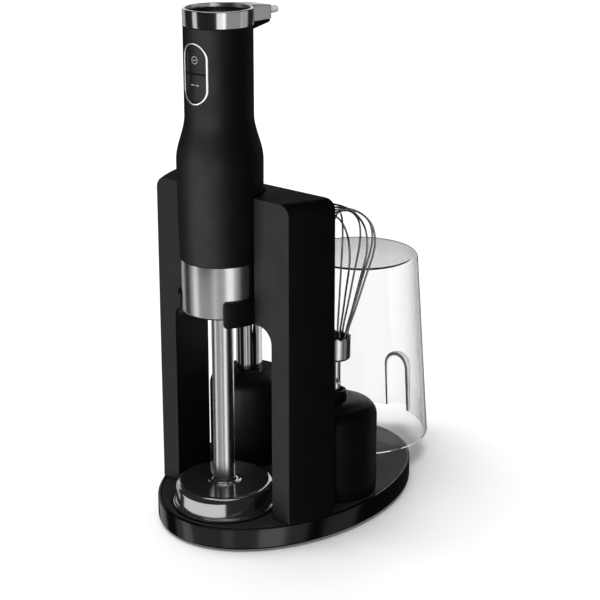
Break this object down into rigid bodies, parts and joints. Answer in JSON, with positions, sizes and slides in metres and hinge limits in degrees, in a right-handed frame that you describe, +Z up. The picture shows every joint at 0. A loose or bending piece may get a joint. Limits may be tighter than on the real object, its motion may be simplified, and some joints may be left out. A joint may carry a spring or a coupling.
{
  "type": "hand mixer",
  "caption": "Stick hand mixer with a slim motor unit, mixing leg and bladed bell, standing in a tower stand with whisk and masher attachments and a clear beaker.",
  "frame": {"origin": "centre of the oval base, on the surface it stands on", "axes": "+Z up, -Y towards the front where the mixer stands, +X to the right seen from the front, where the whisk stands"},
  "size_m": [0.174, 0.303, 0.4114],
  "materials": {
    "soft_touch": "soft-touch lacquer over moulded plastic, matt black",
    "matt_abs": "fine-grained moulded ABS, matt black",
    "gloss_abs": "polished moulded ABS, gloss black",
    "rubber": "moulded rubber, black",
    "chrome": "bright chrome plate",
    "polished_steel": "polished stainless steel",
    "steel": "plain machined steel",
    "grey_plastic": "light grey moulded plastic",
    "nylon": "natural nylon",
    "copper_winding": "enamelled copper winding on laminated steel",
    "circuit_board": "green solder-masked board",
    "clear_plastic": "clear moulded plastic"
  },
  "bodies": {
    "stand": {"base_tray": "gloss_abs", "base_pad": "rubber", "ballast_plate": "steel", "base_deck": "matt_abs", "seat_pad": "rubber", "tower_shell": "matt_abs", "tower_back_cover": "matt_abs", "leg_clip": "matt_abs"},
    "leg": {"blade_bell": "chrome", "leg_tube": "polished_steel", "leg_collar": "polished_steel", "leg_seal": "rubber", "leg_bush": "nylon"},
    "blade_drive": {"drive_shaft": "steel", "blade": "steel", "leg_coupler": "nylon"},
    "motor_unit": {"motor_casing": "soft_touch", "key_bezel": "chrome", "power_switch": "matt_abs", "turbo_switch": "matt_abs", "power_key_spring": "steel", "turbo_key_spring": "steel", "control_board": "circuit_board", "top_ring": "chrome", "dial_potentiometer": "matt_abs", "spur_underside": "matt_abs", "cord_gland": "grey_plastic", "motor_frame": "grey_plastic", "motor_stator": "steel", "lower_bearing": "steel", "upper_bearing": "steel"},
    "power_key": {"power_key": "matt_abs"},
    "turbo_key": {"turbo_key": "matt_abs"},
    "speed_dial": {"speed_dial": "gloss_abs"},
    "rotor": {"motor_shaft": "steel", "armature": "copper_winding", "cooling_fan": "nylon", "drive_coupler": "steel"},
    "whisk_unit": {"whisk_gearbox_shell": "matt_abs", "whisk_gearbox_cover": "matt_abs"},
    "whisk_input": {"whisk_input_gear": "nylon"},
    "whisk_lay": {"whisk_lay_gear": "nylon"},
    "whisk_output": {"whisk_output_gear": "nylon"},
    "whisk": {"whisk_shaft": "polished_steel", "whisk_ferrule": "polished_steel", "whisk_wire_1": "polished_steel", "whisk_wire_2": "polished_steel", "whisk_wire_3": "polished_steel", "whisk_wire_4": "polished_steel", "whisk_wire_5": "polished_steel", "whisk_wire_6": "polished_steel"},
    "masher_unit": {"masher_gearbox_shell": "matt_abs", "masher_gearbox_cover": "matt_abs", "masher_tube": "chrome", "masher_head": "matt_abs"},
    "masher_input": {"masher_input_gear": "nylon"},
    "masher_lay": {"masher_lay_gear": "nylon"},
    "masher_output": {"masher_output_gear": "nylon", "masher_paddle": "nylon"},
    "beaker": {"beaker": "clear_plastic"}
  },
  "joints": [
    {"name": "mixer_lift", "type": "slide", "parent": "stand", "child": "leg", "axis": [0, 0, 1], "range_m": [0, 0.12]},
    {"name": "motor_unit_pull", "type": "slide", "parent": "leg", "child": "motor_unit", "axis": [0, 0, 1], "range_m": [0, 0.05]},
    {"name": "rotor_spin", "type": "hinge", "parent": "motor_unit", "child": "rotor", "pos_m": [0, -0.075, 0.25], "axis": [0, 0, 1], "continuous": true},
    {"name": "blade_spin", "type": "hinge", "parent": "leg", "child": "blade_drive", "pos_m": [0, -0.075, 0.1], "axis": [0, 0, 1], "continuous": true},
    {"name": "speed_dial_turn", "type": "hinge", "parent": "motor_unit", "child": "speed_dial", "pos_m": [0, -0.075, 0.408], "axis": [0, 0, 1], "range_deg": [0, 270]},
    {"name": "power_key_press", "type": "slide", "parent": "motor_unit", "child": "power_key", "axis": [0, 1, 0], "range_m": [0, 0.0012], "stiffness_N_per_m": 900, "deforming": ["power_key_spring"]},
    {"name": "turbo_key_press", "type": "slide", "parent": "motor_unit", "child": "turbo_key", "axis": [0, 1, 0], "range_m": [0, 0.0012], "stiffness_N_per_m": 900, "deforming": ["turbo_key_spring"]},
    {"name": "whisk_unit_lift", "type": "slide", "parent": "stand", "child": "whisk_unit", "axis": [0, 0, 1], "range_m": [0, 0.1]},
    {"name": "whisk_spin", "type": "hinge", "parent": "whisk_unit", "child": "whisk_output", "pos_m": [0.049, 0.003, 0.06], "axis": [0, 0, 1], "continuous": true},
    {"name": "whisk_lay_spin", "type": "hinge", "parent": "whisk_unit", "child": "whisk_lay", "pos_m": [0.0661, 0.003, 0.045], "axis": [0, 0, 1], "continuous": true},
    {"name": "whisk_input_spin", "type": "hinge", "parent": "whisk_unit", "child": "whisk_input", "pos_m": [0.049, 0.003, 0.035], "axis": [0, 0, 1], "continuous": true},
    {"name": "whisk_pull", "type": "slide", "parent": "whisk_output", "child": "whisk", "axis": [0, 0, 1], "range_m": [0, 0.035]},
    {"name": "masher_unit_lift", "type": "slide", "parent": "stand", "child": "masher_unit", "axis": [0, 0, 1], "range_m": [0, 0.1]},
    {"name": "masher_spin", "type": "hinge", "parent": "masher_unit", "child": "masher_output", "pos_m": [-0.049, 0.008, 0.06], "axis": [0, 0, 1], "continuous": true},
    {"name": "masher_lay_spin", "type": "hinge", "parent": "masher_unit", "child": "masher_lay", "pos_m": [-0.0319, 0.008, 0.045], "axis": [0, 0, 1], "continuous": true},
    {"name": "masher_input_spin", "type": "hinge", "parent": "masher_unit", "child": "masher_input", "pos_m": [-0.049, 0.008, 0.035], "axis": [0, 0, 1], "continuous": true},
    {"name": "beaker_lift", "type": "slide", "parent": "stand", "child": "beaker", "axis": [0, 0, 1], "range_m": [0, 0.17]}
  ],
  "couplings": [
    {"joint": "blade_spin", "follows": "rotor_spin", "ratio": 1},
    {"joint": "whisk_lay_spin", "follows": "whisk_spin", "ratio": -2.5},
    {"joint": "whisk_input_spin", "follows": "whisk_spin", "ratio": 6.25},
    {"joint": "masher_lay_spin", "follows": "masher_spin", "ratio": -2.5},
    {"joint": "masher_input_spin", "follows": "masher_spin", "ratio": 6.25}
  ]
}
